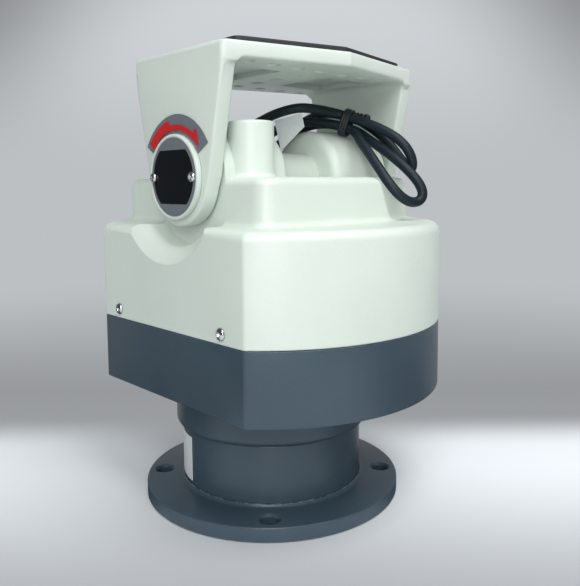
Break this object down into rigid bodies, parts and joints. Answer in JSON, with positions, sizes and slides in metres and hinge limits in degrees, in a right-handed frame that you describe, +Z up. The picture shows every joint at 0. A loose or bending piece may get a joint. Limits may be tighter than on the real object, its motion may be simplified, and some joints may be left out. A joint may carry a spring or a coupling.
{
  "type": "remote pan tilt head",
  "caption": "Motorised camera head with a flanged round base, a body that pans on it and a padded yoke that tilts on the body, with a tied cable on top.",
  "frame": {"origin": "centre of the base flange's underside, on the pan axis", "axes": "+Z up along the pan axis, X along the tilt axis with the plainer, flat side of the body towards -X, and the front of the head towards -Y"},
  "size_m": [0.1862, 0.2158, 0.2788],
  "materials": {
    "pale_paint": "satin powder coat, pale grey with a green tint",
    "slate_paint": "satin powder coat, dark slate",
    "bright_steel": "ground and polished",
    "turned_steel": "turned, oiled",
    "brass": "cut gear teeth",
    "motor_grey": "satin",
    "board_green": "solder mask over glass fibre",
    "black_rubber": "matt",
    "cable_rubber": "matt cable jacket",
    "black_plastic": "moulded",
    "black_film": "glossy film, bare",
    "grey_film": "printed film, bare",
    "red_film": "printed film, bare",
    "white_film": "label stock, bare"
  },
  "bodies": {
    "base": {"base_flange": "slate_paint", "base_turret": "slate_paint", "pan_spindle": "turned_steel", "spindle_screw_1": "bright_steel", "spindle_screw_2": "bright_steel", "spindle_screw_3": "bright_steel", "spindle_screw_4": "bright_steel", "pan_stop_pin": "bright_steel", "pan_bearing_inner": "bright_steel", "pan_ring_gear": "turned_steel", "spindle_nut": "turned_steel", "turret_label": "white_film"},
    "pan_head": {"skirt_casting": "slate_paint", "cover_shell": "pale_paint", "cover_screw_1": "bright_steel", "cover_screw_2": "bright_steel", "cover_screw_3": "bright_steel", "cover_screw_4": "bright_steel", "pan_bearing_outer": "bright_steel", "gear_plate": "turned_steel", "pan_motor": "motor_grey", "control_board": "board_green", "board_standoff_1": "brass", "board_standoff_2": "brass", "board_standoff_3": "brass", "board_standoff_4": "brass", "tilt_bearing_left": "bright_steel", "tilt_bearing_right": "bright_steel", "worm_bearing_upper": "bright_steel", "worm_bearing_lower": "bright_steel", "tilt_motor": "motor_grey", "cable_gland": "black_plastic", "cable_lead": "cable_rubber", "cable_hank": "cable_rubber", "cable_tie": "black_plastic", "cable_tag": "white_film", "cable_plug": "black_plastic"},
    "pan_pinion": {"pan_pinion": "brass"},
    "tilt_worm": {"tilt_worm": "turned_steel"},
    "yoke": {"yoke_bracket": "pale_paint", "rubber_pad": "black_rubber", "tilt_shaft": "turned_steel", "worm_wheel": "brass", "pivot_cover_left": "pale_paint", "pivot_cover_right": "pale_paint", "pivot_film_left": "black_film", "pivot_film_right": "black_film", "cap_screw_left_front": "bright_steel", "cap_screw_left_rear": "bright_steel", "cap_screw_right_front": "bright_steel", "cap_screw_right_rear": "bright_steel", "tilt_mark_band": "grey_film", "tilt_mark_arrow": "red_film"}
  },
  "joints": [
    {"name": "pan", "type": "hinge", "parent": "base", "child": "pan_head", "pos_m": [0, 0, 0.06], "axis": [0, 0, 1], "range_deg": [-175, 175]},
    {"name": "tilt", "type": "hinge", "parent": "pan_head", "child": "yoke", "pos_m": [0, 0, 0.2034], "axis": [1, 0, 0], "range_deg": [-45, 45]},
    {"name": "pinion_spin", "type": "hinge", "parent": "pan_head", "child": "pan_pinion", "pos_m": [0.03447, 0.02892, 0.09], "axis": [0, 0, 1], "range_deg": [-875, 875]},
    {"name": "worm_spin", "type": "hinge", "parent": "pan_head", "child": "tilt_worm", "pos_m": [-0.039, -0.029, 0.2034], "axis": [0, 0, 1], "range_deg": [-1620, 1620]}
  ],
  "couplings": [
    {"joint": "pinion_spin", "follows": "pan", "ratio": 5},
    {"joint": "worm_spin", "follows": "tilt", "ratio": 36}
  ]
}
